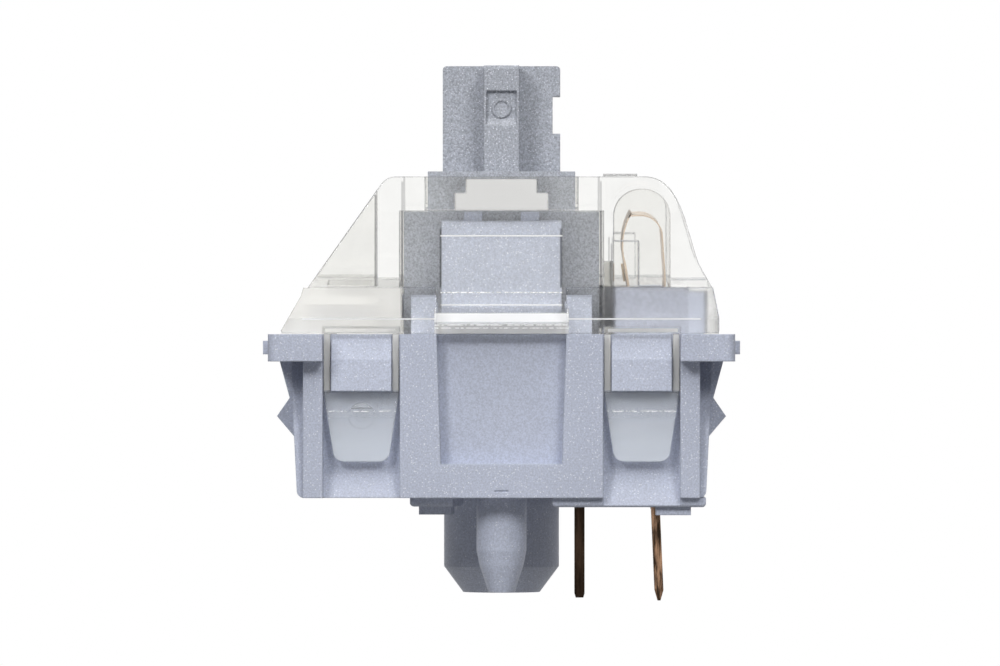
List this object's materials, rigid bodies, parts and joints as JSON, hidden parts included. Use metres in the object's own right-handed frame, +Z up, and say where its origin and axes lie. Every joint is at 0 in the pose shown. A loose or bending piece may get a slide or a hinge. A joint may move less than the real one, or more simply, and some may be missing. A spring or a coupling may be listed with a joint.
{
  "type": "mechanical keyboard switch",
  "caption": "Keyboard key switch: moulded housing with board post and legs, clear clip-on cover, sprung cross-shaped stem and leaf contact.",
  "frame": {"origin": "axis of the centre post, in the plane of the circuit board that the stand-off pads rest on", "axes": "+Z up, the way the stem stands; +Y towards the side with the contact pins; +X out of one of the two faces that carry the cover's leg loops"},
  "size_m": [0.0156, 0.0162, 0.0182],
  "materials": {
    "housing_plastic": "fine matte with a light sparkle",
    "clear_plastic": "clear and glossy",
    "stem_plastic": "matte with a light sparkle",
    "spring_steel": "drawn wire",
    "pin_bronze": "dark, tarnished",
    "contact_metal": "plain",
    "leaf_copper": "rolled strip"
  },
  "bodies": {
    "housing": {"bottom_housing": "housing_plastic", "top_housing": "clear_plastic", "fixed_terminal": "pin_bronze", "fixed_contact_point": "contact_metal", "moving_terminal": "pin_bronze", "return_spring": "spring_steel"},
    "stem": {"stem": "stem_plastic"},
    "leaf": {"contact_leaf": "leaf_copper", "moving_contact_point": "contact_metal"}
  },
  "joints": [
    {"name": "stem_press", "type": "slide", "parent": "housing", "child": "stem", "axis": [0, 0, -1], "range_m": [0, 0.004], "stiffness_N_per_m": 75, "springref_m": -0.004, "deforming": ["return_spring"]},
    {"name": "leaf_flex", "type": "hinge", "parent": "housing", "child": "leaf", "pos_m": [0, 0.00442, 0.0102], "axis": [-1, 0, 0], "range_deg": [0, 6.4], "deforming": ["contact_leaf"]}
  ],
  "couplings": [
    {"joint": "leaf_flex", "follows": "stem_press", "rad_per_m": 27.925}
  ]
}
